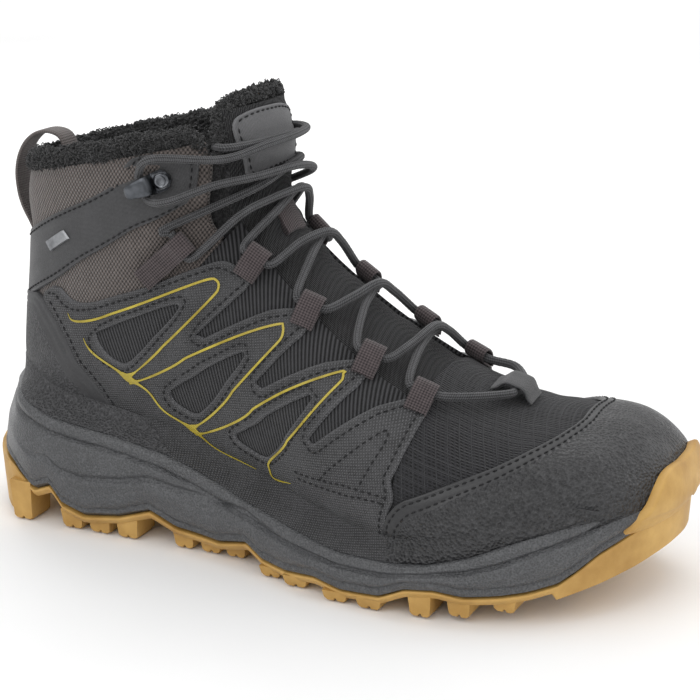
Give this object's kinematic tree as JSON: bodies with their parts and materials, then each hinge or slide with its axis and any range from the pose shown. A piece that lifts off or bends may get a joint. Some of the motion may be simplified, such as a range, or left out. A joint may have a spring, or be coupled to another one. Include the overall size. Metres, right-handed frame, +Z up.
{
  "type": "hiking boot",
  "caption": "Mid-cut hiking boot for the right foot with fleece lining, lugged gum outsole, speed hooks, webbing lace loops and a heel pull loop, laced up.",
  "frame": {"origin": "centre of the bounding box at ground level", "axes": "+X heel to toe, +Y towards the inner (medial) side, +Z up"},
  "size_m": [0.2922, 0.1145, 0.1727],
  "materials": {
    "outsole_gum": "satin",
    "midsole_eva": "matte",
    "shank_nylon": "satin",
    "insole_board": "matte",
    "footbed_foam": "matte",
    "fleece": "matte",
    "stiffener": "satin",
    "foam": "matte",
    "ripstop": "matte",
    "quarter_textile": "matte",
    "collar_textile": "matte",
    "rubberised_guard": "satin",
    "overlay_film": "matte",
    "strap_synthetic": "satin",
    "tongue_textile": "matte",
    "tongue_patch": "satin",
    "webbing": "matte",
    "lace": "matte",
    "aglet": "gloss",
    "rivet": "satin",
    "hook": "satin",
    "pull_webbing": "matte",
    "tag": "satin"
  },
  "bodies": {
    "boot": {"outsole": "outsole_gum", "midsole": "midsole_eva", "shank": "shank_nylon", "insole_board": "insole_board", "footbed": "footbed_foam", "lining_bootie": "fleece", "toe_puff": "stiffener", "heel_stiffener": "stiffener", "collar_foam_lateral": "foam", "collar_foam_medial": "foam", "collar_rim_fleece": "fleece", "vamp_textile": "ripstop", "quarter_textile_lateral": "quarter_textile", "collar_textile_lateral": "collar_textile", "quarter_textile_medial": "quarter_textile", "collar_textile_medial": "collar_textile", "toe_cap": "rubberised_guard", "heel_counter": "rubberised_guard", "quarter_overlay_lateral": "overlay_film", "collar_strap_lateral": "strap_synthetic", "quarter_overlay_medial": "overlay_film", "collar_strap_medial": "strap_synthetic", "side_tag": "tag", "tongue_lower": "tongue_textile", "lace_loop_a_lateral": "webbing", "lace_loop_a_medial": "webbing", "lace_loop_b_lateral": "webbing", "lace_loop_b_medial": "webbing", "lace_loop_c_lateral": "webbing", "lace_loop_c_medial": "webbing", "lace_loop_d_lateral": "webbing", "lace_loop_d_medial": "webbing", "lace_loop_e_lateral": "webbing", "lace_loop_e_medial": "webbing", "vamp_keeper": "webbing", "hook_lateral": "hook", "hook_rivet_lateral": "rivet", "hook_medial": "hook", "hook_rivet_medial": "rivet", "lace_lower": "lace", "lace_upper_medial": "lace", "aglet_medial": "aglet", "lace_upper_lateral": "lace", "aglet_lateral": "aglet", "pull_loop_tab": "pull_webbing"},
    "tongue": {"tongue_upper": "tongue_textile", "tongue_lining": "fleece", "tongue_patch": "tongue_patch"},
    "pull_loop": {"pull_loop": "pull_webbing"}
  },
  "joints": [
    {"name": "tongue_tilt", "type": "hinge", "parent": "boot", "child": "tongue", "pos_m": [-0.02202, 0.00615, 0.131], "axis": [0, 1, 0], "range_deg": [0, 22], "stiffness_Nm_per_rad": 0.25, "deforming": ["lace_upper_lateral", "lace_upper_medial", "lace_lower"]},
    {"name": "pull_loop_swing", "type": "hinge", "parent": "boot", "child": "pull_loop", "pos_m": [-0.13102, 0.00615, 0.115], "axis": [0.5692, 0, 0.8222], "range_deg": [-20, 20], "stiffness_Nm_per_rad": 0.01}
  ]
}
